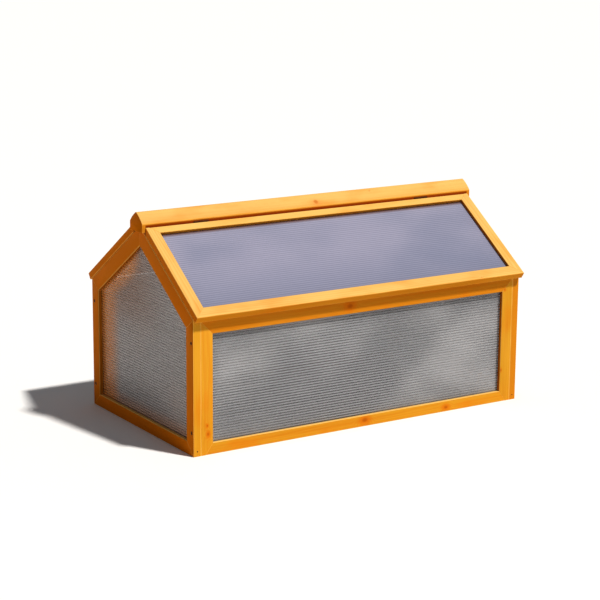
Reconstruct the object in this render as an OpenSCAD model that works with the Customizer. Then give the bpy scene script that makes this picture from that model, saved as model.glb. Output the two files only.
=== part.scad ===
// Timber cold frame with a gabled roof: four glazed walls, a solid ridge cap
// and two glazed roof lids, each hung on a pair of small butt hinges.
// Length runs along X, depth along Y, height along Z. The origin is at ground
// level, below the middle of the ridge. The front looks towards -Y.

/* [Overall] */
// Height from the ground to the top of the ridge cap
total_h = 500; // [400:1:700]
// Length over the outer faces of the two gables
body_l = 884; // [600:1:1500]
// Depth over the outer faces of the front and back walls
body_d = 480; // [380:1:600]
// Slope of the roof, in degrees
roof_pitch = 34.3; // [28:0.1:42]

/* [Walls] */
// Thickness of every wall frame
frame_t = 18.6; // [15:0.1:30]
// Width of the uprights in the front and back walls
wall_stile_w = 30.3; // [24:0.1:45]
// Width of the top rail of the front and back walls
wall_top_w = 30.3; // [24:0.1:45]
// Width of the bottom rail of the front and back walls
wall_bottom_w = 25.5; // [20:0.1:45]
// Width of the uprights' feet, where their mitres with the bottom rail meet the ground
wall_foot_w = 11; // [4:0.1:20]
// How far the front and back walls stop below the outer corners of the gables
wall_drop = 5.4; // [2:0.1:15]
// Width of the uprights of a gable
gable_stile_w = 31; // [24:0.1:45]
// Width of the bottom rail of a gable
gable_bottom_w = 30.3; // [24:0.1:45]
// Width of the sloping rails of a gable, square to the slope
rafter_w = 37; // [28:0.1:50]

/* [Roof lids] */
// Thickness of a lid
lid_t = 17; // [14:0.1:28]
// Width of the side rails and the bottom rail of a lid
lid_rail_w = 27.9; // [22:0.1:45]
// Width of the top rail on the lid's face. Below the face it runs on to a plumb-cut edge
lid_top_w = 19.1; // [16:0.1:35]
// How far a lid reaches past the wall below it, level with the ground
lid_overhang = 19; // [10:0.1:40]
// Gap between a closed lid and the sloping rails that it lies on
lid_rest_gap = 1; // [0.5:0.1:3]

/* [Ridge cap] */
// Width of the ridge cap
cap_w = 58; // [50:0.1:90]
// Height of the ridge cap
cap_h = 43; // [40:0.1:60]
// Height of the upright sides of the ridge cap
cap_side_h = 20; // [18:0.1:22]
// How far the ridge cap reaches past each gable
cap_overhang = 8; // [0:0.1:30]
// Radius of the two curved slopes of the ridge cap
cap_slope_r = 90; // [70:1:200]
// Radius of the rounded top of the ridge cap
cap_top_r = 5; // [2:0.1:8]
// Height from the face of a lid, carried on to the cap, up to the side's top edge
cap_step = 6.8; // [5:0.1:9]

/* [Glazing] */
// Thickness of a glazing sheet
sheet_t = 4; // [3:0.1:6]
// Depth from the outer face of a wall to its sheet
wall_sheet_recess = 9; // [5:0.1:10]
// Depth from the face of a lid to its sheet
lid_sheet_recess = 8; // [5:0.1:9]
// Depth of the groove that holds a sheet
groove_depth = 9; // [5:0.1:12]
// Room left for the sheet across its groove
groove_side_clearance = 0.4; // [0.1:0.1:1]
// Room left for the sheet at the bottom of its groove
groove_end_clearance = 1; // [0.5:0.1:3]

/* [Screws] */
// Height of the lower screws through a gable's uprights
screw_low_z = 52; // [35:1:100]
// Distance of the upper screws below the top of the front wall
screw_top_drop = 47; // [35:1:100]
// Timber left between the tip of a screw and the groove for the sheet
screw_tip_cover = 3; // [1:0.5:8]
// Radius of a screw's shank
screw_r = 2; // [1.5:0.1:3]
// Radius of a screw's head
screw_head_r = 4; // [3.5:0.1:6]
// Height of the countersunk head
screw_head_h = 2.4; // [1.5:0.1:4]
// Depth of the head below the face of the timber
screw_sink = 0.6; // [0:0.1:2]
// Room between a screw and its hole
screw_clearance = 0.1; // [0.05:0.05:0.5]

/* [Hinges] */
// Length of one butt hinge
hinge_l = 38; // [25:1:70]
// Distance from the end of a lid to the middle of its hinge
hinge_inset = 140; // [60:1:250]
// Radius of a hinge's knuckles
knuckle_r = 1.4; // [1.3:0.1:2]
// Radius of a hinge's pin
hinge_pin_r = 0.7; // [0.5:0.05:0.9]
// Thickness of a hinge leaf
leaf_t = 0.7; // [0.5:0.1:1]
// Gap between the two leaves of a closed hinge
leaf_gap = 0.2; // [0.1:0.1:0.5]
// Height of a hinge leaf below its pin
leaf_h = 13; // [8:0.1:14]
// Room between a knuckle and what turns past it
knuckle_clearance = 0.3; // [0.2:0.05:0.6]
// Room round the pin in a knuckle
pin_clearance = 0.05; // [0.02:0.01:0.1]
// Room between two knuckles end to end
knuckle_end_gap = 0.4; // [0.2:0.1:1]

/* [Hidden] */
$fn = 64;

timber_color = "#E8A23C";
sheet_color = "#C9CCD3";
steel_color = "#8E9196";
// Cutters reach this far past the faces that they cut
cut_over = 1;

// Places along X and Y
gable_x = body_l / 2;
wall_y = body_d / 2;
panel_x = gable_x - frame_t;
cap_y = cap_w / 2;
lid_y = cap_y + 2 * leaf_t + leaf_gap;
eave_y = wall_y + lid_overhang;

// Heights of the ridge cap
cap_base_z = total_h - cap_h;
cap_side_z = cap_base_z + cap_side_h;

// Planes of the roof, as heights at a distance y from the middle
function lid_face_z(y) = cap_side_z - cap_step - (y - cap_y) * tan(roof_pitch);
function rafter_top_z(y) = lid_face_z(y) - (lid_t + lid_rest_gap) / cos(roof_pitch);

// Length of a lid's face down the slope, and how far its plumb-cut upper edge runs on below
lid_w = (eave_y - lid_y) / cos(roof_pitch);
lid_bevel = lid_t * tan(roof_pitch);

// Room that a knuckle needs round its pin
knuckle_room = knuckle_r + knuckle_clearance;

// Top of the front and back walls
wall_h = rafter_top_z(wall_y) - wall_drop;

// A hinge's knuckles lie in the corner between the side of the cap and the lid's face,
// so that the lid's upper edge swings away from the cap
pin_y = cap_y + knuckle_room;
pin_z = lid_face_z(lid_y) + knuckle_room / cos(roof_pitch);

// Length of a screw, from the top of its head in a gable to its tip in a wall's upright
screw_l = frame_t - screw_sink + wall_stile_w - groove_depth - screw_tip_cover;

// ---------------------------------------------------------------- outlines

// Outline of a front or back wall with its edges moved in by the given widths
function wall_outline(stile, bottom, top) = [
    [-panel_x + stile, bottom],
    [panel_x - stile, bottom],
    [panel_x - stile, wall_h - top],
    [-panel_x + stile, wall_h - top]
];

// Outline of a gable with its edges moved in by the given widths: the two feet,
// the two eave corners and the peak
function gable_outline(stile, bottom, rafter) = [
    [-wall_y + stile, bottom],
    [wall_y - stile, bottom],
    [wall_y - stile, rafter_top_z(wall_y - stile) - rafter / cos(roof_pitch)],
    [0, rafter_top_z(0) - rafter / cos(roof_pitch)],
    [-wall_y + stile, rafter_top_z(wall_y - stile) - rafter / cos(roof_pitch)]
];

// Outline of a lid's face with its edges moved in by the given widths. Y runs up the slope.
function lid_outline(side, top) = [
    [-gable_x + side, -lid_w + side],
    [gable_x - side, -lid_w + side],
    [gable_x - side, -top],
    [-gable_x + side, -top]
];

// The mitred member between corners i and j of an outer and an inner outline
function mitred(outer, inner, i, j) = [outer[i], outer[j], inner[j], inner[i]];

// Mark on a line of length hinge_l where knuckle k of three begins
function knuckle_start(k) = -hinge_l / 2 + k * hinge_l / 3 + knuckle_end_gap / 2;

// ---------------------------------------------------------------- placing

// Draws in the plane of the front wall: X along it, Y up, Z outwards from its inner face
module on_front() {
    translate([0, -wall_y + frame_t, 0]) rotate([90, 0, 0]) children();
}

// Draws in the plane of the right gable: X towards the back, Y up, Z outwards
module on_right_gable() {
    translate([panel_x, 0, 0]) rotate([90, 0, 90]) children();
}

// Draws on the face of the front lid: X along it, Y up the slope, Z outwards
module on_front_lid() {
    translate([0, -lid_y, lid_face_z(lid_y)]) rotate([roof_pitch, 0, 0]) children();
}

module to_back() {
    mirror([0, 1, 0]) children();
}

module to_left() {
    mirror([1, 0, 0]) children();
}

// ---------------------------------------------------------------- walls

// A board of a wall frame, with the groove for the sheet cut from its inner edge
module wall_board(points, groove_points) {
    color(timber_color) difference() {
        linear_extrude(frame_t) polygon(points);
        sheet_layer(frame_t - wall_sheet_recess, groove_points, groove_side_clearance);
    }
}

// A layer as thick as a sheet, its outer face at height z, with room added on both faces
module sheet_layer(z, points, clearance) {
    translate([0, 0, z - sheet_t - clearance / 2])
        linear_extrude(sheet_t + clearance) polygon(points);
}

wall_outer = wall_outline(0, 0, 0);
wall_window = wall_outline(wall_stile_w, wall_bottom_w, wall_top_w);
wall_groove = wall_outline(
    wall_stile_w - groove_depth, wall_bottom_w - groove_depth, wall_top_w - groove_depth);
sheet_reach = groove_depth - groove_end_clearance;
wall_sheet_edge = wall_outline(
    wall_stile_w - sheet_reach, wall_bottom_w - sheet_reach, wall_top_w - sheet_reach);

// The lower ends of the mitres of the bottom rail, left and right
wall_mitre_foot = [wall_outer[0] + [wall_foot_w, 0], wall_outer[1] - [wall_foot_w, 0]];

module wall_top_rail() {
    on_front() wall_board(mitred(wall_outer, wall_window, 2, 3), wall_groove);
}

module wall_bottom_rail() {
    on_front() wall_board(mitred(wall_mitre_foot, wall_window, 0, 1), wall_groove);
}

// The right upright of the front wall, with the holes for the gable's screws
module wall_stile() {
    difference() {
        on_front() wall_board(
            concat(mitred(wall_outer, wall_window, 1, 2), [wall_mitre_foot[1]]), wall_groove);
        gable_screws(1) screw_hole();
    }
}

module wall_sheet() {
    color(sheet_color) on_front() sheet_layer(frame_t - wall_sheet_recess, wall_sheet_edge, 0);
}

module front_top_rail() { wall_top_rail(); }
module front_bottom_rail() { wall_bottom_rail(); }
module front_left_stile() { to_left() wall_stile(); }
module front_right_stile() { wall_stile(); }
module front_sheet() { wall_sheet(); }

module back_top_rail() { to_back() wall_top_rail(); }
module back_bottom_rail() { to_back() wall_bottom_rail(); }
module back_left_stile() { to_back() to_left() wall_stile(); }
module back_right_stile() { to_back() wall_stile(); }
module back_sheet() { to_back() wall_sheet(); }

// ---------------------------------------------------------------- gables

gable_outer = gable_outline(0, 0, 0);
gable_window = gable_outline(gable_stile_w, gable_bottom_w, rafter_w);
gable_groove = gable_outline(
    gable_stile_w - groove_depth, gable_bottom_w - groove_depth, rafter_w - groove_depth);
gable_sheet_edge = gable_outline(
    gable_stile_w - sheet_reach, gable_bottom_w - sheet_reach, rafter_w - sheet_reach);

module gable_rail() {
    on_right_gable() wall_board(mitred(gable_outer, gable_window, 0, 1), gable_groove);
}

// The front upright of the right gable, with the holes for its screws
module gable_stile() {
    difference() {
        on_right_gable() wall_board(mitred(gable_outer, gable_window, 4, 0), gable_groove);
        gable_screws(1) screw_hole();
    }
}

// The front sloping rail of the right gable, cut level at its peak to carry the ridge cap
module gable_rafter() {
    difference() {
        on_right_gable() wall_board(mitred(gable_outer, gable_window, 3, 4), gable_groove);
        translate([panel_x - cut_over, -wall_y, cap_base_z])
            cube([frame_t + 2 * cut_over, body_d, cap_h]);
    }
}

module gable_sheet() {
    color(sheet_color)
        on_right_gable() sheet_layer(frame_t - wall_sheet_recess, gable_sheet_edge, 0);
}

module left_gable_bottom_rail() { to_left() gable_rail(); }
module left_gable_front_stile() { to_left() gable_stile(); }
module left_gable_back_stile() { to_left() to_back() gable_stile(); }
module left_gable_front_rafter() { to_left() gable_rafter(); }
module left_gable_back_rafter() { to_left() to_back() gable_rafter(); }
module left_gable_sheet() { to_left() gable_sheet(); }

module right_gable_bottom_rail() { gable_rail(); }
module right_gable_front_stile() { gable_stile(); }
module right_gable_back_stile() { to_back() gable_stile(); }
module right_gable_front_rafter() { gable_rafter(); }
module right_gable_back_rafter() { to_back() gable_rafter(); }
module right_gable_sheet() { gable_sheet(); }

// ---------------------------------------------------------------- screws

// Puts children at the two screws of the right gable's front upright, Z pointing out
// along X. The screws lie midway through the thickness of the front wall.
module gable_screws(side) {
    for (z = [screw_low_z, wall_h - screw_top_drop])
        translate([gable_x - screw_sink, side * (-wall_y + frame_t / 2), z])
            rotate([0, 90, 0]) children();
}

// A countersunk screw with its head's top at the origin, grown by some room for its hole
module screw(room) {
    translate([0, 0, -screw_l - room]) cylinder(r = screw_r + room, h = screw_l + room);
    translate([0, 0, -screw_head_h])
        rotate_extrude() polygon([[0, 0], [screw_r + room, 0],
            [screw_head_r + room, screw_head_h], [0, screw_head_h]]);
}

// The hole for a screw, open above its head
module screw_hole() {
    screw(screw_clearance);
    cylinder(r = screw_head_r + screw_clearance, h = screw_sink + cut_over);
}

module gable_screw_set() {
    color(steel_color) for (side = [-1, 1]) gable_screws(side) screw(0);
}

module left_gable_screws() { to_left() gable_screw_set(); }
module right_gable_screws() { gable_screw_set(); }

// ---------------------------------------------------------------- ridge cap

// Centre of the curved slope over +Y: its arc starts at the top edge of the cap's side
// and runs into the rounded top
cap_tip_z = total_h - cap_top_r;
cap_chord = norm([cap_y, cap_tip_z - cap_side_z]);
cap_along = (cap_slope_r * cap_slope_r - pow(cap_slope_r - cap_top_r, 2)
    + cap_chord * cap_chord) / (2 * cap_chord);
cap_across = sqrt(cap_slope_r * cap_slope_r - cap_along * cap_along);
cap_dir = [-cap_y, cap_tip_z - cap_side_z] / cap_chord;
cap_arc_y = cap_y + cap_along * cap_dir[0] - cap_across * cap_dir[1];
cap_arc_z = cap_side_z + cap_along * cap_dir[1] + cap_across * cap_dir[0];

// Direction from that centre through the middle of the rounded top, where the arcs meet
cap_meet = [-cap_arc_y, cap_tip_z - cap_arc_z] / (cap_slope_r - cap_top_r);
cap_meet_z = cap_tip_z + cap_top_r * cap_meet[1];

module cap_section() {
    intersection() {
        translate([-cap_y, cap_base_z]) square([cap_w, cap_meet_z - cap_base_z]);
        translate([cap_arc_y, cap_arc_z]) circle(r = cap_slope_r, $fn = 180);
        translate([-cap_arc_y, cap_arc_z]) circle(r = cap_slope_r, $fn = 180);
    }
    intersection() {
        translate([0, cap_tip_z]) circle(r = cap_top_r);
        translate([-cap_y, cap_meet_z]) square([cap_w, cap_h]);
    }
}

module ridge_cap() {
    color(timber_color)
        translate([-gable_x - cap_overhang, 0, 0]) rotate([90, 0, 90])
            linear_extrude(body_l + 2 * cap_overhang) cap_section();
}

// ---------------------------------------------------------------- roof lids

// The lid's boards are mitred at 45 degrees before the upper edge is cut plumb, so the
// uncut outline stands above the face's upper edge
lid_outer = lid_outline(0, lid_top_w - lid_rail_w);
lid_window = lid_outline(lid_rail_w, lid_top_w);
lid_groove = lid_outline(lid_rail_w - groove_depth, lid_top_w - groove_depth);
lid_sheet_edge = lid_outline(lid_rail_w - sheet_reach, lid_top_w - sheet_reach);

// A rail of the front lid, with the groove for its sheet. Its upper edge, if it has one,
// is cut plumb, to stand parallel to the side of the ridge cap.
module lid_rail(points) {
    color(timber_color) difference() {
        on_front_lid() translate([0, 0, -lid_t]) linear_extrude(lid_t) polygon(points);
        on_front_lid() sheet_layer(-lid_sheet_recess, lid_groove, groove_side_clearance);
        translate([-gable_x - cut_over, -lid_y, cap_base_z - cap_h])
            cube([body_l + 2 * cut_over, 2 * lid_y, 3 * cap_h]);
    }
}

// The corners of the lower face that stand above the uncut outline of the upper one
lid_top_reach = max(lid_bevel, lid_rail_w - lid_top_w) + cut_over;
lid_top_corners = [[gable_x, lid_top_reach], [-gable_x, lid_top_reach]];

module lid_top_rail() {
    lid_rail(concat(lid_top_corners, [lid_outer[3], lid_window[3], lid_window[2], lid_outer[2]]));
}

module lid_edge_rail(i, j) {
    lid_rail(mitred(lid_outer, lid_window, i, j));
}

module lid_sheet() {
    color(sheet_color) on_front_lid() sheet_layer(-lid_sheet_recess, lid_sheet_edge, 0);
}

module front_lid_top_rail() { lid_top_rail(); }
module front_lid_bottom_rail() { lid_edge_rail(0, 1); }
module front_lid_left_rail() { lid_edge_rail(3, 0); }
module front_lid_right_rail() { lid_edge_rail(1, 2); }
module front_lid_sheet() { lid_sheet(); }

module back_lid_top_rail() { to_back() lid_top_rail(); }
module back_lid_bottom_rail() { to_back() lid_edge_rail(0, 1); }
module back_lid_left_rail() { to_back() lid_edge_rail(3, 0); }
module back_lid_right_rail() { to_back() lid_edge_rail(1, 2); }
module back_lid_sheet() { to_back() lid_sheet(); }

// ---------------------------------------------------------------- hinges

// Puts children at the middle of each hinge of the front lid, on the axis of its pins
module at_hinges() {
    for (x = [-gable_x + hinge_inset, gable_x - hinge_inset])
        translate([x, -pin_y, pin_z]) children();
}

// Knuckle k of three, counted along X
module knuckle(k) {
    translate([knuckle_start(k), 0, 0]) rotate([0, 90, 0])
        cylinder(r = knuckle_r, h = hinge_l / 3 - knuckle_end_gap);
}

// One leaf from leaf_y to leaf_y + leaf_t, with the knuckles in the list. Away from its
// own knuckles it stops short of the other leaf's.
module leaf(leaf_y, knuckles) {
    color(steel_color) difference() {
        union() {
            translate([-hinge_l / 2, leaf_y, -leaf_h])
                cube([hinge_l, leaf_t, leaf_h - knuckle_room]);
            for (k = knuckles) {
                translate([knuckle_start(k), leaf_y, -leaf_h])
                    cube([hinge_l / 3 - knuckle_end_gap, leaf_t, leaf_h]);
                knuckle(k);
            }
        }
        translate([-hinge_l / 2 - cut_over, 0, 0]) rotate([0, 90, 0])
            cylinder(r = hinge_pin_r + pin_clearance, h = hinge_l + 2 * cut_over);
    }
}

module hinge_pin() {
    color(steel_color) translate([-hinge_l / 2, 0, 0]) rotate([0, 90, 0])
        cylinder(r = hinge_pin_r, h = hinge_l);
}

module cap_leaves() { at_hinges() leaf(pin_y - cap_y - leaf_t, [0, 2]); }
module lid_leaves() { at_hinges() leaf(pin_y - lid_y, [1]); }
module hinge_pins() { at_hinges() hinge_pin(); }

module front_hinge_cap_leaves() { cap_leaves(); }
module front_hinge_lid_leaves() { lid_leaves(); }
module front_hinge_pins() { hinge_pins(); }
module back_hinge_cap_leaves() { to_back() cap_leaves(); }
module back_hinge_lid_leaves() { to_back() lid_leaves(); }
module back_hinge_pins() { to_back() hinge_pins(); }

// ---------------------------------------------------------------- drawing

front_top_rail();
front_bottom_rail();
front_left_stile();
front_right_stile();
front_sheet();
back_top_rail();
back_bottom_rail();
back_left_stile();
back_right_stile();
back_sheet();
left_gable_bottom_rail();
left_gable_front_stile();
left_gable_back_stile();
left_gable_front_rafter();
left_gable_back_rafter();
left_gable_sheet();
right_gable_bottom_rail();
right_gable_front_stile();
right_gable_back_stile();
right_gable_front_rafter();
right_gable_back_rafter();
right_gable_sheet();
left_gable_screws();
right_gable_screws();
ridge_cap();
front_lid_top_rail();
front_lid_bottom_rail();
front_lid_left_rail();
front_lid_right_rail();
front_lid_sheet();
back_lid_top_rail();
back_lid_bottom_rail();
back_lid_left_rail();
back_lid_right_rail();
back_lid_sheet();
front_hinge_cap_leaves();
front_hinge_lid_leaves();
front_hinge_pins();
back_hinge_cap_leaves();
back_hinge_lid_leaves();
back_hinge_pins();
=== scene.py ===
"""Looks of a timber cold frame: stained softwood boards, fluted twin-wall sheets and steel fittings.

Every board is cut from the plain board of the frame with the same name and gets eased arrises and a
grain that runs through it. Every sheet is built flute by flute. All lengths are in metres.
"""

import math
import random

import bmesh
import bpy
from mathutils import Matrix, Vector


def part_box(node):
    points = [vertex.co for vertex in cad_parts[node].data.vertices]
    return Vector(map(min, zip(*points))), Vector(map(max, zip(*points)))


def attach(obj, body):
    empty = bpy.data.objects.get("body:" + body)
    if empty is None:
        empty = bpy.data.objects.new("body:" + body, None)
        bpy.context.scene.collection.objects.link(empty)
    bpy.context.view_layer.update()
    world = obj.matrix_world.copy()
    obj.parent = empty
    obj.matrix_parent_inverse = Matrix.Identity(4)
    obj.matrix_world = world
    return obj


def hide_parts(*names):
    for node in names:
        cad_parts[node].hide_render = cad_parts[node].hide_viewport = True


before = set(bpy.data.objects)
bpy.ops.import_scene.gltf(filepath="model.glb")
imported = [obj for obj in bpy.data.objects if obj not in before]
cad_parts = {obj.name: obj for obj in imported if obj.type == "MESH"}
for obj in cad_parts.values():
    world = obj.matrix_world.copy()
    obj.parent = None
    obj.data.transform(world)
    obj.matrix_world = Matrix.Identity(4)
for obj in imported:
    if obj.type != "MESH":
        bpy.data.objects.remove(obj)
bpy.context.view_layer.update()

MM = 0.001
X, Y, Z = Vector((1, 0, 0)), Vector((0, 1, 0)), Vector((0, 0, 1))

ROOF_PITCH = math.radians(34.3)

# Timber
ARRIS = 1.6 * MM  # rounding of the long edges of a board
MITRE_ARRIS = 0.25  # share of that rounding where a board is sawn across
ARRIS_STEPS = 3
SHORTEST_ARRIS = 4 * MM  # a shorter edge stays sharp
RING_PITCH = 3.2 * MM  # distance between two growth rings

# Angles between faces
SHARP = math.radians(28)  # from here on, an edge is shown as an edge
FLAT = math.radians(0.4)  # up to here, two faces are one

# Twin-wall sheet
GROOVE = 9 * MM  # how far its edges are let into the timber
FLUTE_PITCH = 6 * MM
SKIN = 0.45 * MM
RIB = 0.4 * MM
DISH = 0.14 * MM  # how far a skin sinks between two ribs
DISH_STEPS = 4
WELD = 0.01 * MM

# Where the timber behind a gable's sheet is painted onto it as seen through, where a lid's sheet is
# dirty near its bottom, and where it takes painted shade under its top rail
TINT_FROM, TINT_TO = 44 * MM, 104 * MM
LOWER_TINT_FROM, LOWER_TINT_TO = 14 * MM, 44 * MM
RUN_DOWN_FROM, RUN_DOWN_TO = 10 * MM, 150 * MM
RAIL_SHADE = GROOVE + 3.5 * MM

# Screws through the gables
SCREW_HEAD_R = 4 * MM
SCREW_HEAD_H = 2.4 * MM
SCREW_SHANK_R = 2 * MM
RECESS_ARM = 1.2 * MM
RECESS_SPAN = 4.6 * MM
RECESS_DEPTH = 1.7 * MM
RECESS_TAPER = 0.45

# Nails through the gables' uprights into the ends of their bottom rails
NAIL_HEAD_R = 1.5 * MM
NAIL_HEAD_H = 0.3 * MM
NAIL_HEIGHT = 11.5 * MM

# Screws of the hinge leaves, counted from the middle of a hinge and down from its pin
HINGE_L = 38 * MM
LEAF_SCREW_R = 1.6 * MM
LEAF_SCREW_H = 0.06 * MM
LEAF_SCREW_STEP = 13 * MM
LEAF_SCREW_DROP = 7.5 * MM
LEAF_T = 0.7 * MM
LEAF_GAP = 0.2 * MM

# How deeply a board is stained, from 0, pale honey, to 1, deep orange. Other boards draw theirs.
STAIN = {
    "front_bottom_rail": 0.12,
    # deeper in part as painted shade under the lid's overhang
    "front_top_rail": 0.55,
    "front_left_stile": 0.1,
    "front_right_stile": 0.0,
    "left_gable_front_rafter": 0.4,
    "left_gable_back_rafter": 0.8,
    "left_gable_bottom_rail": 0.5,
    "left_gable_front_stile": 0.0,
    "left_gable_back_stile": 0.3,
    "ridge_cap": 0.5,
    "front_lid_top_rail": 0.1,
    "front_lid_bottom_rail": 0.5,
    "front_lid_left_rail": 0.6,
    "front_lid_right_rail": 0.35,
}

# Knots that stand out, up to two on a board: a place on the board and the knot's radius
KNOTS = {
    "front_top_rail": [((-0.040, -0.24, 0.287), 7 * MM)],
    "front_bottom_rail": [((0.005, -0.24, 0.015), 7 * MM), ((0.235, -0.24, 0.010), 5 * MM)],
    "front_left_stile": [((-0.408, -0.24, 0.066), 2.2 * MM), ((-0.406, -0.24, 0.047), 3.5 * MM)],
    "ridge_cap": [((0.167, -0.009, 0.493), 2.0 * MM), ((0.008, -0.021, 0.483), 6 * MM)],
}

WALLS = ("front", "back")
GABLES = ("left_gable", "right_gable")
LIDS = ("front_lid", "back_lid")

# Colours of the timber
# the deep colour also stands for painted shade on faces that look along X
PALE_STAIN, DEEP_STAIN_AND_SIDE_SHADE = (0.70, 0.345, 0.026, 1), (0.60, 0.160, 0.0015, 1)
LATEWOOD, STREAK, FIBRE = (0.60, 0.16, 0.003, 1), (0.62, 0.17, 0.003, 1), (0.50, 0.12, 0.003, 1)
BLOTCH, CLOUD = (0.72, 0.19, 0.002, 1), (0.84, 0.44, 0.050, 1)
KNOT_HALO, KNOT = (0.66, 0.14, 0.001, 1), (0.36, 0.065, 0.002, 1)
# the second colour is painted shade on a board's inner faces round its sheet
END_GRAIN, REVEAL_SHADE = (0.45, 0.12, 0.003, 1), (0.26, 0.055, 0.002, 1)
# the first colour is sun bleaching together with a painted sky sheen
BLEACHED_AND_SHEEN, WORN_ARRIS = (0.745, 0.492, 0.165, 1), (0.90, 0.56, 0.14, 1)
# painted shade for the corner between the ridge cap and the lids
CAP_CORNER_SHADE = (0.27, 0.036, 0.001, 1)

# Colours painted onto the sheets: the timber seen through a gable's sheet, and the painted shade under
# a lid's top rail
SEEN_TIMBER, SEEN_RAIL = (0.80, 0.31, 0.055, 1), (0.62, 0.24, 0.07, 1)
SEEN_ROOF = (0.33, 0.145, 0.065, 1)
# painted shade on a lid's sheet under its top rail
RAIL_SHADE_COLOUR = (0.13, 0.045, 0.02, 1)

# Colours of the steel, browned outdoors and kept dark so the hinges pass into the painted shade between
# the ridge cap and the lids
PALE_STEEL, DARK_STEEL = (0.13, 0.040, 0.010, 1), (0.070, 0.018, 0.004, 1)

# Places on the frame
CAP_SIDE_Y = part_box("ridge_cap")[1].y
LID_TOP_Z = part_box("front_lid_top_rail")[1].z
LID_END_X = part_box("front_lid_right_rail")[1].x
SHEET_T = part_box("front_sheet")[1].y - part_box("front_sheet")[0].y


# ------------------------------------------------------------------ shader sums


class Term:
    """A value that varies over a surface. Sums and products of terms add Math nodes."""

    def __init__(self, tree, socket=None):
        self.tree, self.socket = tree, socket

    def add(self, kind, out=0, values=None, **settings):
        """A node of that kind, set first and then given its values or links."""
        node = self.tree.nodes.new("ShaderNode" + kind)
        for name, value in settings.items():
            setattr(node, name, value)
        for name, value in (values or {}).items():
            if isinstance(value, Term):
                self.tree.links.new(value.socket, node.inputs[name])
            else:
                node.inputs[name].default_value = value
        return Term(self.tree, node.outputs[out])

    def math(self, operation, *values):
        return self.add("Math", operation=operation, values=dict(enumerate(values)))

    def __add__(self, other):
        return self.math("ADD", self, other)

    def __radd__(self, other):
        return self.math("ADD", other, self)

    def __sub__(self, other):
        return self.math("SUBTRACT", self, other)

    def __rsub__(self, other):
        return self.math("SUBTRACT", other, self)

    def __mul__(self, other):
        return self.math("MULTIPLY", self, other)

    def __rmul__(self, other):
        return self.math("MULTIPLY", other, self)

    def __truediv__(self, other):
        return self.math("DIVIDE", self, other)

    def step(self, low, high):
        """0 below low and 1 above high, with a smooth change between them."""
        return self.add("MapRange", interpolation_type="SMOOTHSTEP",
                        values={"Value": self, "From Min": low, "From Max": high})

    def stretched(self, *scale):
        return self.add("VectorMath", operation="MULTIPLY", values={0: self, 1: scale})

    def noise(self, detail=2.0, roughness=0.5, dimensions="3D"):
        return self.add("TexNoise", noise_dimensions=dimensions,
                        values={"Vector": self, "Scale": 1.0, "Detail": detail, "Roughness": roughness})

    def over(self, colour, under):
        """colour where this mask is 1, laid over another colour."""
        return self.add("Mix", out=2, data_type="RGBA", values={0: self, 6: under, 7: colour})


def material(name, **fixed):
    """A new material with its shader's even values set, its shader, and a term to start from."""
    made = bpy.data.materials.new(name)
    made.use_nodes = True
    shader = made.node_tree.nodes["Principled BSDF"]
    for socket, value in fixed.items():
        shader.inputs[socket.replace("_", " ")].default_value = value
    return made, shader, Term(made.node_tree)


def feed(term, shader, socket):
    term.tree.links.new(term.socket, shader.inputs[socket])


def bump(height, distance, strength=1.0):
    return height.add("Bump", values={"Height": height, "Distance": distance, "Strength": strength})


# ------------------------------------------------------------------ finishes


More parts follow.
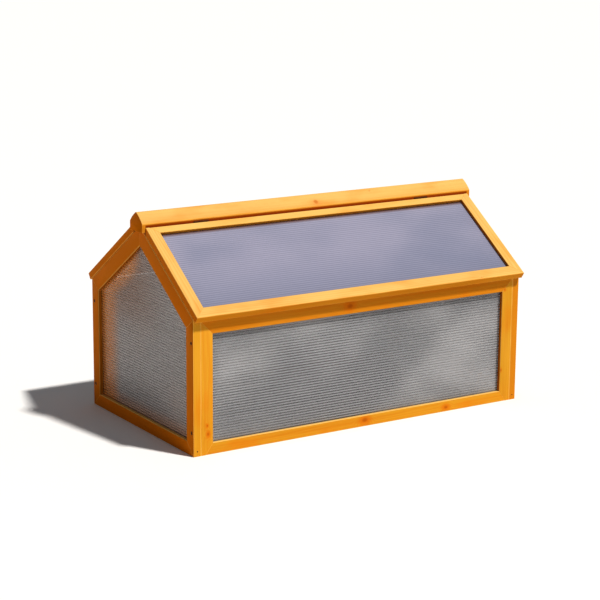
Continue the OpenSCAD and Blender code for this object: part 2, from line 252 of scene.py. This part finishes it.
def stained_softwood():
    """Planed softwood stained a translucent honey-orange, lighter where it faces the sky, partly from
    sun bleaching and partly as a painted sky sheen, and with painted shade on faces that look along X.
    """
    made, shader, base = material("stained_softwood", Specular_IOR_Level=0.012)

    def carried(name, out="Fac"):
        return base.add("Attribute", out=out, attribute_name=name)

    def parts(vector):
        return [base.add("SeparateXYZ", out=part, values={0: vector}) for part in range(3)]

    place = carried("grain", "Vector")
    along, across, through = parts(place)
    stain, arris, reveal = carried("stain"), carried("arris"), carried("reveal")
    end_grain, sky = carried("end_grain"), carried("sky")

    # Knots run through the thickness of the board
    knot_body, knot_halo, knot_pull = 0, 0, 0
    for name in ("knot_1", "knot_2"):
        spot_along, spot_across, radius = parts(carried(name, "Vector"))
        away, aside = (along - spot_along) * 0.7, across - spot_across
        reach = base.math("SQRT", away * away + aside * aside) / radius
        knot_body = knot_body + (1 - reach.step(0.3, 1.0))
        knot_halo = knot_halo + (1 - reach.step(0.8, 2.6))
        knot_pull = knot_pull + (1 - reach.step(0.5, 3.6)) * radius

    # Growth rings round the pith, which wander and part round the knots
    bend = place.stretched(2.2, 18, 18).noise(3) * 0.013
    wander = bend + place.stretched(9, 70, 70).noise(2) * 0.0018
    from_pith = base.math("SQRT", across * across + through * through)
    ring = (from_pith + wander + knot_pull * 1.4) / RING_PITCH
    season = base.math("FRACT", ring)
    latewood = season.step(0.3, 0.85) * (1 - season.step(0.92, 1.0))
    fibre = place.stretched(14, 1100, 1100).noise(3, 0.6)
    streak = place.stretched(3.0, 110, 110).noise(3, 0.55)
    blotch = place.stretched(9, 24, 24).noise(2)
    cloud = place.stretched(3.5, 9, 9).noise(2)

    # Deep stain and painted shade on faces that look along X share the deep colour
    colour = stain.over(DEEP_STAIN_AND_SIDE_SHADE, PALE_STAIN)
    colour = (latewood * 0.24).over(LATEWOOD, colour)
    colour = (streak.step(0.45, 0.75) * 0.40).over(STREAK, colour)
    colour = (fibre.step(0.5, 0.75) * 0.14).over(FIBRE, colour)
    colour = (blotch.step(0.50, 0.72) * 0.40).over(BLOTCH, colour)
    colour = (cloud.step(0.5, 0.75) * (0.30 - stain * 0.25)).over(CLOUD, colour)
    colour = (knot_halo * 0.6).over(KNOT_HALO, colour)
    colour = (knot_body * 0.5).over(KNOT, colour)
    colour = (end_grain * 0.4).over(END_GRAIN, colour)
    # Painted shade on the board's inner faces round its sheet
    colour = (reveal * 0.6).over(REVEAL_SHADE, colour)

    # The roof's upper faces are lighter, from sun bleaching and a painted sky sheen, and less so over
    # dark grain and knots
    kept_grain = latewood * 0.20 + streak * 0.2
    kept_tone = kept_grain + blotch.step(0.45, 0.72) * 0.26 - cloud.step(0.4, 0.7) * 0.06
    bleach_and_sheen = sky.step(0.35, 0.8) * (1 - knot_body * 0.6) * (0.97 - kept_tone)
    colour = bleach_and_sheen.over(BLEACHED_AND_SHEEN, colour)
    colour = (arris * fibre.step(0.3, 0.55) * 0.45).over(WORN_ARRIS, colour)

    # Painted shade along the corner between the ridge cap and the lids
    spot = parts(base.add("TexCoord", out="Object"))
    end, side, height = (base.math("ABSOLUTE", part) for part in spot)
    corner = carried("ridge") * (1 - (height - LID_TOP_Z).step(3.0 * MM, 7.2 * MM))
    corner = corner * side.step(CAP_SIDE_Y - 0.6 * MM, CAP_SIDE_Y - 0.3 * MM)
    corner = corner * (1 - end.step(LID_END_X - 1 * MM, LID_END_X + 0.5 * MM))
    colour = (corner * 0.95).over(CAP_CORNER_SHADE, colour)

    feed(colour, shader, "Base Color")
    feed(0.40 + streak * 0.12 + fibre * 0.10 + end_grain * 0.2, shader, "Roughness")
    relief = fibre * 0.5 + latewood * 0.2 + knot_body * 0.5
    feed(bump(relief, 0.12 * MM), shader, "Normal")
    return made


def twin_wall(name, clear, milky, dirt, veil, warm=0, dirt_and_shade_width=0):
    """Fluted plastic, clear between its ribs and milky along them. veil is how much it hides at
    those two places, and warm how strongly the timber seen through it is painted in. The last
    argument is given for a sheet with dirt near its lower edge and painted shade under its top
    rail, and is its width across the flutes."""
    made, shader, base = material(name, IOR=1.58)
    place = base.add("Attribute", out="Vector", attribute_name="flute")
    along, across, reach = (base.add("SeparateXYZ", out=part, values={0: place}) for part in range(3))
    flute = across / FLUTE_PITCH
    rib = 0.5 + 0.5 * base.math("COSINE", flute * (2 * math.pi))
    uneven = place.stretched(0.9, 0.8 / FLUTE_PITCH, 0).noise(1)
    haze = place.stretched(-3.2, 4.5, 0).noise(2)
    crisp = place.stretched(2.6, 5, 0).noise(1, 0.5, "2D").step(0.35, 0.65)
    shown_rib = 0.5 + (rib - 0.5) * (0.38 + 0.72 * crisp) + (uneven - 0.5) * 0.4
    colour = shown_rib.over((*milky, 1), (*clear, 1))
    colour = (haze.step(0.42, 0.70) * 0.55).over((*dirt, 1), colour)
    to_end = reach - base.math("ABSOLUTE", along)
    # Painted in: the timber behind the sheet as seen through it, at its upper back, its foot and its
    # back edge
    if warm:
        spot = base.add("TexCoord", out="Object")
        back, height = (base.add("SeparateXYZ", out=part, values={0: spot}) for part in (1, 2))
        upper = back.step(-170 * MM, 100 * MM) * height.step(190 * MM, 300 * MM)
        colour = (upper * 0.8 * warm).over(SEEN_ROOF, colour)
        lower = 1 - across.step(LOWER_TINT_FROM, LOWER_TINT_TO)
        colour = (lower * 0.5 * warm).over(SEEN_RAIL, colour)
        timber = (1 - to_end.step(TINT_FROM, TINT_TO)) * back.step(0, 60 * MM) * warm
        colour = timber.over(SEEN_TIMBER, colour)
    if dirt_and_shade_width:
        run_down = 1 - across.step(RUN_DOWN_FROM, RUN_DOWN_TO)
        colour = (run_down * 0.5).over((*dirt, 1), colour)
        # Painted shade on the sheet just under its top rail
        to_rail = across - (dirt_and_shade_width - RAIL_SHADE)
        rail_shade = to_rail.step(-0.4 * RAIL_SHADE, 0.3 * RAIL_SHADE)
        colour = (rail_shade * 0.85).over(RAIL_SHADE_COLOUR, colour)
    feed(colour, shader, "Base Color")
    feed(0.15 + haze * 0.12 + rib * 0.12, shader, "Roughness")
    feed(veil[0] + rib * (veil[1] - veil[0]) + haze.step(0.4, 0.8) * 0.05, shader, "Alpha")
    return made


def dulled_steel():
    """Plated steel, dulled and browned outdoors, and kept dark so that the hinges pass into the painted
    shade between the ridge cap and the lids.
    """
    made, shader, base = material("dulled_steel", Specular_IOR_Level=0.1)
    place = base.add("TexCoord", out="Object")
    cloud = place.stretched(900, 900, 900).noise(3)
    scuff = place.stretched(300, 2500, 2500).noise(2)
    colour = cloud.step(0.3, 0.7).over(DARK_STEEL, PALE_STEEL)
    feed(colour, shader, "Base Color")
    feed(0.42 + cloud * 0.25, shader, "Roughness")
    feed(0.2 - cloud.step(0.5, 0.8) * 0.15, shader, "Metallic")
    feed(bump(scuff, 0.02 * MM), shader, "Normal")
    return made


# ------------------------------------------------------------------ making meshes


def shown(name, mesh):
    piece = bpy.data.objects.new(name, mesh)
    bpy.context.scene.collection.objects.link(piece)
    return piece


def settled(piece):
    """Works the piece's modifiers into its mesh."""
    evaluated = piece.evaluated_get(bpy.context.evaluated_depsgraph_get())
    mesh = bpy.data.meshes.new_from_object(evaluated)
    piece.modifiers.clear()
    mesh.name = piece.name
    piece.data = mesh


def carry(mesh, name, kind, domain, values):
    """Stores one value for each point or corner of the mesh."""
    layer = mesh.attributes.new(name, kind, domain)
    if kind == "FLOAT_VECTOR":
        layer.data.foreach_set("vector", [part for value in values for part in value])
    else:
        layer.data.foreach_set("value", values)


# ------------------------------------------------------------------ boards


def board_axes(form):
    """Directions along the grain, across the board's broad face and through its thickness."""
    longest = max(form.edges, key=lambda edge: round(edge.calc_length(), 5))
    along = (longest.verts[1].co - longest.verts[0].co).normalized()
    if sum(along) < 0:
        along.negate()
    sides = [face for face in form.faces if abs(face.normal.dot(along)) < 0.02]
    through = max(sides, key=lambda face: round(face.calc_area(), 7)).normal.copy()
    return along, through.cross(along), through


def board(node, body, finish, glazing=None):
    """A board with eased arrises, standing for the frame's board of that name. glazing is the sheet
    that the board holds, if it holds one."""
    rng = random.Random(node)
    form = bmesh.new()
    form.from_mesh(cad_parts[node].data)
    bmesh.ops.remove_doubles(form, verts=form.verts, dist=1e-6)
    bmesh.ops.dissolve_limit(form, angle_limit=FLAT, verts=form.verts, edges=form.edges)
    buried = [face for face in form.faces if all(len(edge.link_faces) > 2 for edge in face.edges)]
    if buried:  # a joint inside the solid
        bmesh.ops.delete(form, geom=buried, context="FACES_ONLY")
        bmesh.ops.dissolve_limit(form, angle_limit=FLAT, verts=form.verts, edges=form.edges)
    axes = board_axes(form)
    rounding = form.edges.layers.float.new("bevel_weight_edge")
    for edge in form.edges:
        if edge.calc_face_angle(0) < SHARP:
            continue
        if edge.calc_length() < SHORTEST_ARRIS:
            edge.smooth = False
            continue
        run = (edge.verts[1].co - edge.verts[0].co).normalized()
        edge[rounding] = 1 if abs(run.dot(axes[0])) > 0.99 else MITRE_ARRIS
    for face in form.faces:
        face.smooth = True
    mesh = bpy.data.meshes.new(node)
    form.to_mesh(mesh)
    form.free()
    mesh.materials.append(finish)
    mesh.materials.append(finish)
    piece = shown(node + "_board", mesh)
    easing = piece.modifiers.new("arris", "BEVEL")
    easing.limit_method = "WEIGHT"
    easing.width = ARRIS
    easing.segments = ARRIS_STEPS
    easing.use_clamp_overlap = False
    easing.harden_normals = True
    easing.material = 1
    settled(piece)

    mesh = piece.data
    low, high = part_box(node)
    centre = (low + high) / 2
    run, aside = rng.uniform(-4, 4), rng.uniform(-0.03, 0.03)
    start = Vector((run, aside, rng.choice((-1, 1)) * rng.uniform(0.02, 0.06)))

    def on_board(place):
        return Vector([(place - centre).dot(axis) for axis in axes]) + start

    count = len(mesh.vertices)
    carry(mesh, "grain", "FLOAT_VECTOR", "POINT", [on_board(point.co) for point in mesh.vertices])
    carry(mesh, "ridge", "FLOAT", "POINT", [float(node == "ridge_cap")] * count)
    knots = iter(KNOTS.get(node, ()))
    for name in ("knot_1", "knot_2"):
        chosen = next(knots, None)
        if chosen:
            place, radius = chosen
            spot = on_board(Vector(place))
            spot.z = radius
        else:
            run, aside = rng.uniform(-0.9, 0.9), rng.uniform(-0.02, 0.02)
            spot = Vector((start.x + run, start.y + aside, rng.uniform(1.0, 2.4) * MM))
        carry(mesh, name, "FLOAT_VECTOR", "POINT", [spot] * count)
    depth = STAIN.get(node, rng.uniform(0.1, 0.9))
    pane = sum(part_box(glazing), Vector()) / 2 if glazing else centre
    looks = {"arris": [], "end_grain": [], "sky": [], "stain": [], "reveal": []}
    for face in mesh.polygons:
        out, to_pane = face.normal, pane - face.center
        inwards = out.dot(to_pane) > 0 and abs(out.dot(to_pane.normalized())) > 0.02 and out.z < 0.5
        values = {
            "arris": float(face.material_index == 1),
            "end_grain": abs(out.dot(axes[0])) ** 3,
            "sky": max(out.z, 0),
            # painted shade: the more a face looks along X, the deeper its colour
            "stain": depth + (1 - depth) * abs(out.x) ** 2,
            # inner faces round the sheet take painted shade
            "reveal": float(bool(glazing) and inwards and abs(out.dot(axes[0])) < 0.1),
        }
        for name, value in values.items():
            looks[name] += [value] * face.loop_total
    for name, values in looks.items():
        carry(mesh, name, "FLOAT", "CORNER", values)
    mesh.polygons.foreach_set("material_index", [0] * len(mesh.polygons))
    mesh.materials.pop(index=1)

    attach(piece, body)
    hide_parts(node)


# ------------------------------------------------------------------ sheets


def flute_section(depth, pitch):
    """The cut end of one flute between the middles of two ribs: both skins and two half ribs."""
    inner = [RIB / 2 + (pitch - RIB) * step / DISH_STEPS for step in range(DISH_STEPS + 1)]
    marks = [0, *inner, pitch]
    points, faces = [], []
    for side in (1, -1):
        for across in marks:
            sink = DISH * math.sin(math.pi * across / pitch) ** 2
            points.append((0, across, side * (depth / 2 - sink)))
            points.append((0, across, side * (depth / 2 - SKIN - sink)))
    row = 2 * len(marks)
    for side in (0, 1):
        for step in range(len(marks) - 1):
            corner = side * row + 2 * step
            face = [corner, corner + 2, corner + 3, corner + 1]
            faces.append(face if side else face[::-1])
    for step in (0, len(marks) - 2):
        upper = 2 * step + 1
        faces.append([upper, upper + 2, upper + 2 + row, upper + row][::-1])
    mesh = bpy.data.meshes.new("flute_section")
    mesh.from_pydata(points, [], faces)
    return mesh


def flute_tree():
    """Repeats a flute's section across the sheet and draws it out to the sheet's length."""
    tree = bpy.data.node_groups.new("fluted_sheet", "GeometryNodeTree")
    face = tree.interface
    face.new_socket("Flute", in_out="INPUT", socket_type="NodeSocketGeometry")
    face.new_socket("Flute Count", in_out="INPUT", socket_type="NodeSocketInt")
    face.new_socket("Flute Pitch", in_out="INPUT", socket_type="NodeSocketFloat")
    face.new_socket("Length", in_out="INPUT", socket_type="NodeSocketFloat")
    face.new_socket("Finish", in_out="INPUT", socket_type="NodeSocketMaterial")
    face.new_socket("Sheet", in_out="OUTPUT", socket_type="NodeSocketGeometry")

    def node(kind, **settings):
        made = tree.nodes.new(kind)
        for name, value in settings.items():
            setattr(made, name, value)
        return made

    def join(source, target):
        tree.links.new(source, target)

    given, result = node("NodeGroupInput"), node("NodeGroupOutput")
    step = node("ShaderNodeCombineXYZ")
    join(given.outputs["Flute Pitch"], step.inputs["Y"])
    row = node("GeometryNodeMeshLine", mode="OFFSET")
    join(given.outputs["Flute Count"], row.inputs["Count"])
    join(step.outputs[0], row.inputs["Offset"])
    repeat = node("GeometryNodeInstanceOnPoints")
    join(row.outputs[0], repeat.inputs["Points"])
    join(given.outputs["Flute"], repeat.inputs["Instance"])
    real = node("GeometryNodeRealizeInstances")
    join(repeat.outputs[0], real.inputs[0])
    weld = node("GeometryNodeMergeByDistance")
    weld.inputs["Distance"].default_value = WELD
    join(real.outputs[0], weld.inputs["Geometry"])
    draw = node("ShaderNodeCombineXYZ")
    join(given.outputs["Length"], draw.inputs["X"])
    extrude = node("GeometryNodeExtrudeMesh", mode="FACES")
    extrude.inputs["Individual"].default_value = False
    join(weld.outputs[0], extrude.inputs["Mesh"])
    join(draw.outputs[0], extrude.inputs["Offset"])
    turned = node("GeometryNodeFlipFaces")
    join(weld.outputs[0], turned.inputs["Mesh"])
    both = node("GeometryNodeJoinGeometry")
    join(turned.outputs[0], both.inputs[0])
    join(extrude.outputs[0], both.inputs[0])
    close = node("GeometryNodeMergeByDistance")
    close.inputs["Distance"].default_value = WELD
    join(both.outputs[0], close.inputs["Geometry"])
    whole = node("GeometryNodeRealizeInstances")
    join(close.outputs[0], whole.inputs[0])
    finish = node("GeometryNodeSetMaterial")
    join(whole.outputs[0], finish.inputs["Geometry"])
    join(given.outputs["Finish"], finish.inputs["Material"])
    join(finish.outputs[0], result.inputs[0])
    return tree


def set_inputs(modifier, **values):
    """Sets the inputs of a nodes modifier by the identifiers of its sockets."""
    for item in modifier.node_group.interface.items_tree:
        if item.item_type == "SOCKET" and item.in_out == "INPUT":
            name = item.name.replace(" ", "_").lower()
            if name in values:
                modifier[item.identifier] = values[name]


def sheet(node, body, tree, finish, axes, trim=None):
    """A twin-wall sheet in the place of the frame's plain slab. axes are the directions along the
    flutes, across them and out of the sheet."""
    low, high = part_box(node)
    centre = (low + high) / 2
    along, across, out = axes
    size = high - low
    length = size.dot(Vector(map(abs, along)))
    if abs(across.y) > 0 and abs(across.z) > 0:
        width = (size.y - SHEET_T * abs(across.z)) / abs(across.y)
    else:
        width = size.dot(Vector(map(abs, across)))
    count = round(width / FLUTE_PITCH)
    pitch = width / count
    piece = shown(node + "_twin_wall", flute_section(SHEET_T, pitch))
    flutes = piece.modifiers.new("flutes", "NODES")
    flutes.node_group = tree
    set_inputs(flutes, flute_count=count, flute_pitch=pitch, length=length, finish=finish)
    settled(piece)
    mesh = piece.data
    rows = [point.co.y * FLUTE_PITCH / pitch for point in mesh.vertices]
    mesh.transform(Matrix.Translation((-length / 2, -width / 2, 0)))
    turn = Matrix((along, across, out)).transposed().to_4x4()
    mesh.transform(Matrix.Translation(centre) @ turn)
    if trim:
        trim(mesh)
    ends = [(point.co - centre).dot(along) for point in mesh.vertices]
    places = [(end, row, abs(end)) for end, row in zip(ends, rows)]
    carry(mesh, "flute", "FLOAT_VECTOR", "POINT", places)
    for face in mesh.polygons:
        face.use_smooth = True
    mesh.set_sharp_from_angle(angle=SHARP)
    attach(piece, body)
    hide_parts(node)


def under_the_roof(node):
    """Cuts the flutes of a gable's sheet to the slope of the roof."""
    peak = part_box(node)[1].z

    def trim(mesh):
        for point in mesh.vertices:
            room = max((peak - point.co.z) / math.tan(ROOF_PITCH), 0.2 * MM)
            point.co.y = max(-room, min(room, point.co.y))
        mesh.update()

    return trim


# ------------------------------------------------------------------ fixings


def turned_form(name, outline, sides=28):
    """A closed round shape about Z from an outline of (radius, height) points, from tip to top."""
    form = bmesh.new()
    rings = []
    for radius, height in outline:
        if radius == 0:
            rings.append([form.verts.new((0, 0, height))])
        else:
            turns = [2 * math.pi * side / sides for side in range(sides)]
            round_it = [(radius * math.cos(turn), radius * math.sin(turn), height) for turn in turns]
            rings.append([form.verts.new(place) for place in round_it])
    for lower, upper in zip(rings, rings[1:]):
        for side in range(sides):
            after = (side + 1) % sides
            corners = [lower[side % len(lower)], lower[after % len(lower)],
                       upper[after % len(upper)], upper[side % len(upper)]]
            form.faces.new(list(dict.fromkeys(corners)))
    mesh = bpy.data.meshes.new(name)
    form.to_mesh(mesh)
    form.free()
    return shown(name, mesh)


def cross_recess():
    """A cross with tapered arms, to be cut from the top of a screw's head."""
    form = bmesh.new()
    for quarter in (0, 1):
        made = bmesh.ops.create_cube(form, size=1)
        for vert in made["verts"]:
            taper = 1 if vert.co.z > 0 else RECESS_TAPER
            size = Vector((RECESS_SPAN * taper, RECESS_ARM * taper, 2 * RECESS_DEPTH))
            vert.co = vert.co * size
            if quarter:
                vert.co = Vector((-vert.co.y, vert.co.x, vert.co.z))
    mesh = bpy.data.meshes.new("cross_recess")
    form.to_mesh(mesh)
    form.free()
    return shown("cross_recess", mesh)


def screw_form(length):
    """A countersunk screw with its head's top at the origin."""
    screw = turned_form("screw", [
        (0, -length), (SCREW_SHANK_R * 0.35, -length + 1.5 * MM),
        (SCREW_SHANK_R, -length + 6 * MM), (SCREW_SHANK_R, -SCREW_HEAD_H),
        (SCREW_HEAD_R, -0.25 * MM), (SCREW_HEAD_R - 0.15 * MM, 0), (0, 0)])
    recess = cross_recess()
    cut = screw.modifiers.new("recess", "BOOLEAN")
    cut.operation, cut.solver, cut.object, cut.use_self = "DIFFERENCE", "EXACT", recess, True
    settled(screw)
    bpy.data.objects.remove(recess)
    return screw


def fixing_tree():
    """Sets a fixing on every point, turned one way."""
    tree = bpy.data.node_groups.new("fixings", "GeometryNodeTree")
    face = tree.interface
    face.new_socket("Places", in_out="INPUT", socket_type="NodeSocketGeometry")
    face.new_socket("Fixing", in_out="INPUT", socket_type="NodeSocketObject")
    face.new_socket("Turn", in_out="INPUT", socket_type="NodeSocketRotation")
    face.new_socket("Finish", in_out="INPUT", socket_type="NodeSocketMaterial")
    face.new_socket("Fixings", in_out="OUTPUT", socket_type="NodeSocketGeometry")
    given, result = tree.nodes.new("NodeGroupInput"), tree.nodes.new("NodeGroupOutput")
    form = tree.nodes.new("GeometryNodeObjectInfo")
    repeat = tree.nodes.new("GeometryNodeInstanceOnPoints")
    real = tree.nodes.new("GeometryNodeRealizeInstances")
    finish = tree.nodes.new("GeometryNodeSetMaterial")
    for source, target in (
        (given.outputs["Fixing"], form.inputs["Object"]),
        (given.outputs["Places"], repeat.inputs["Points"]),
        (form.outputs["Geometry"], repeat.inputs["Instance"]),
        (given.outputs["Turn"], repeat.inputs["Rotation"]),
        (repeat.outputs[0], real.inputs[0]),
        (real.outputs[0], finish.inputs["Geometry"]),
        (given.outputs["Finish"], finish.inputs["Material"]),
        (finish.outputs[0], result.inputs[0]),
    ):
        tree.links.new(source, target)
    return tree


def fixings(name, body, tree, form, places, out, finish, *nodes):
    """One mesh of the same fixing at several places, its head towards out. nodes are the frame's
    pieces that it stands for, if there are any."""
    mesh = bpy.data.meshes.new(name)
    mesh.from_pydata(places, [], [])
    piece = shown(name, mesh)
    setting = piece.modifiers.new("fixings", "NODES")
    setting.node_group = tree
    turn = tuple(out.to_track_quat("Z", "Y").to_euler())
    set_inputs(setting, fixing=form, turn=turn, finish=finish)
    settled(piece)
    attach(piece, body)
    if nodes:
        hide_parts(*nodes)


def gable_screws(tree, finish):
    for gable, out in (("left_gable", -X), ("right_gable", X)):
        low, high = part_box(f"{gable}_screws")
        form = screw_form(high.x - low.x)
        head_x = high.x if out.x > 0 else low.x
        places = [(head_x, y, z) for y in (low.y + SCREW_HEAD_R, high.y - SCREW_HEAD_R)
                  for z in (low.z + SCREW_HEAD_R, high.z - SCREW_HEAD_R)]
        fixings(f"{gable}_screw_set", "frame", tree, form, places, out, finish, f"{gable}_screws")
        bpy.data.objects.remove(form)


def corner_nails(tree, finish):
    """A nail in the front edge of each gable's upright, and another at the back."""
    form = turned_form("nail", [
        (0, -NAIL_HEAD_H), (NAIL_HEAD_R, -NAIL_HEAD_H), (NAIL_HEAD_R, NAIL_HEAD_H * 0.3),
        (NAIL_HEAD_R * 0.7, NAIL_HEAD_H * 0.8), (0, NAIL_HEAD_H)], 16)
    for side, out in (("front", -Y), ("back", Y)):
        places = []
        for gable in GABLES:
            low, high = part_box(f"{gable}_{side}_stile")
            places.append(((low.x + high.x) / 2, low.y if out.y < 0 else high.y, NAIL_HEIGHT))
        fixings(f"{side}_corner_nails", "frame", tree, form, places, out, finish)
    bpy.data.objects.remove(form)


def leaf_screws(tree, finish):
    """The heads of the screws in the hinges' leaves."""
    form = turned_form("leaf_screw", [
        (0, -LEAF_SCREW_H), (LEAF_SCREW_R, -LEAF_SCREW_H), (LEAF_SCREW_R, LEAF_SCREW_H * 0.5),
        (LEAF_SCREW_R * 0.85, LEAF_SCREW_H), (0, LEAF_SCREW_H)], 16)
    for side, sign in (("front", -1), ("back", 1)):
        pin = (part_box(f"{side}_hinge_pins")[0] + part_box(f"{side}_hinge_pins")[1]) / 2
        for leaves, body, way in (("cap", "frame", sign), ("lid", f"{side}_lid", -sign)):
            low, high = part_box(f"{side}_hinge_{leaves}_leaves")
            face_y = sign * (CAP_SIDE_Y + LEAF_T + (LEAF_GAP if leaves == "lid" else 0))
            middles = (low.x + HINGE_L / 2, high.x - HINGE_L / 2)
            places = [(middle + step * LEAF_SCREW_STEP, face_y, pin.z - LEAF_SCREW_DROP)
                      for middle in middles for step in (-1, 0, 1)]
            fixings(f"{side}_hinge_{leaves}_leaf_screws", body, tree, form, places, way * Y, finish)
    bpy.data.objects.remove(form)


# ------------------------------------------------------------------ stage


def floor():
    mesh = bpy.data.meshes.new("floor")
    half = 250
    corners = [(-half, -half, 0), (half, -half, 0), (half, half, 0), (-half, half, 0)]
    mesh.from_pydata(corners, [], [(0, 1, 2, 3)])
    finish = material("pale_floor", Base_Color=(0.86, 0.86, 0.86, 1), Roughness=0.85)[0]
    mesh.materials.append(finish)
    shown("floor", mesh)


def camera():
    place = Vector((-2.3157, -3.5945, 1.2487))
    heading, dip, lean = math.radians(32.567), math.radians(13.175), math.radians(0.452)
    lens = bpy.data.cameras.new("camera")
    lens.sensor_width = 36
    lens.lens = 111.8
    seen = bpy.data.objects.new("camera", lens)
    turn = Matrix.Rotation(-heading, 4, "Z") @ Matrix.Rotation(math.pi / 2 - dip, 4, "X")
    seen.matrix_world = Matrix.Translation(place) @ turn @ Matrix.Rotation(lean, 4, "Z")
    bpy.context.scene.collection.objects.link(seen)
    bpy.context.scene.camera = seen


def lights():
    """Soft light from all round and a high, slightly warm key light."""
    world = bpy.data.worlds.new("studio")
    world.use_nodes = True
    sky = world.node_tree.nodes["Background"]
    sky.inputs["Color"].default_value = (0.93, 0.95, 1.0, 1)
    sky.inputs["Strength"].default_value = 0.21
    bpy.context.scene.world = world
    key = bpy.data.lights.new("key", "SUN")
    key.energy = 3.95
    key.angle = math.radians(4)
    key.color = (1.0, 0.97, 0.92)
    lamp = bpy.data.objects.new("key", key)
    lamp.rotation_mode = "QUATERNION"
    towards = Vector((0.26, -0.455, 0.845)).normalized()
    lamp.rotation_quaternion = towards.to_track_quat("Z", "Y")
    scene = bpy.context.scene
    scene.collection.objects.link(lamp)
    scene.view_settings.view_transform = "Standard"
    scene.view_settings.gamma = 0.88
    scene.cycles.transparent_max_bounces = 24  # a ray can cross four sheets with two skins each


# ------------------------------------------------------------------ the cold frame

camera()
lights()
floor()

lid_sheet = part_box("front_lid_sheet")
lid_run = lid_sheet[1].y - lid_sheet[0].y - SHEET_T * math.sin(ROOF_PITCH)

wood = stained_softwood()
wall_plastic = twin_wall(
    "wall_twin_wall", clear=(0.165, 0.165, 0.17), milky=(0.43, 0.43, 0.45), dirt=(0.62, 0.61, 0.62),
    veil=(0.40, 0.62))
# The gables' sheets are the same plastic, lighter than the walls' as painted light coming through them;
# the left one has more timber painted in
gable_plastic = {
    gable: twin_wall(
        gable + "_twin_wall", clear=(0.32, 0.285, 0.27), milky=(0.59, 0.55, 0.54),
        dirt=(0.52, 0.40, 0.34), veil=(0.36, 0.58), warm=warm)
    for gable, warm in (("left_gable", 0.88), ("right_gable", 0.18))
}
# The lids' sheets are the same plastic, tinted lavender as a painted reflection of the sky
lid_plastic = twin_wall(
    "lid_twin_wall", clear=(0.36, 0.355, 0.47), milky=(0.41, 0.40, 0.52), dirt=(0.22, 0.24, 0.35),
    veil=(0.66, 0.74), dirt_and_shade_width=lid_run / math.cos(ROOF_PITCH))
steel = dulled_steel()

for wall in WALLS:
    for member in ("top_rail", "bottom_rail", "left_stile", "right_stile"):
        board(f"{wall}_{member}", "frame", wood, f"{wall}_sheet")
for gable in GABLES:
    for member in ("bottom_rail", "front_stile", "back_stile", "front_rafter", "back_rafter"):
        board(f"{gable}_{member}", "frame", wood, f"{gable}_sheet")
for lid in LIDS:
    for member in ("top_rail", "bottom_rail", "left_rail", "right_rail"):
        board(f"{lid}_{member}", lid, wood, f"{lid}_sheet")
board("ridge_cap", "frame", wood)

flutes = flute_tree()
for wall, out in (("front", -Y), ("back", Y)):
    sheet(f"{wall}_sheet", "frame", flutes, wall_plastic, (X, out.cross(X), out))
for gable, out in (("left_gable", -X), ("right_gable", X)):
    along = Z.cross(out)
    sheet(f"{gable}_sheet", "frame", flutes, gable_plastic[gable], (along, out.cross(along), out),
          under_the_roof(f"{gable}_sheet"))
for lid, side in (("front_lid", 1), ("back_lid", -1)):
    out = Vector((0, -side * math.sin(ROOF_PITCH), math.cos(ROOF_PITCH)))
    sheet(f"{lid}_sheet", lid, flutes, lid_plastic, (side * X, out.cross(side * X), out))

fixing = fixing_tree()
gable_screws(fixing, steel)
corner_nails(fixing, steel)
leaf_screws(fixing, steel)
for node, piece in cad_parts.items():
    if "hinge" in node:
        piece.data.materials.clear()
        piece.data.materials.append(steel)
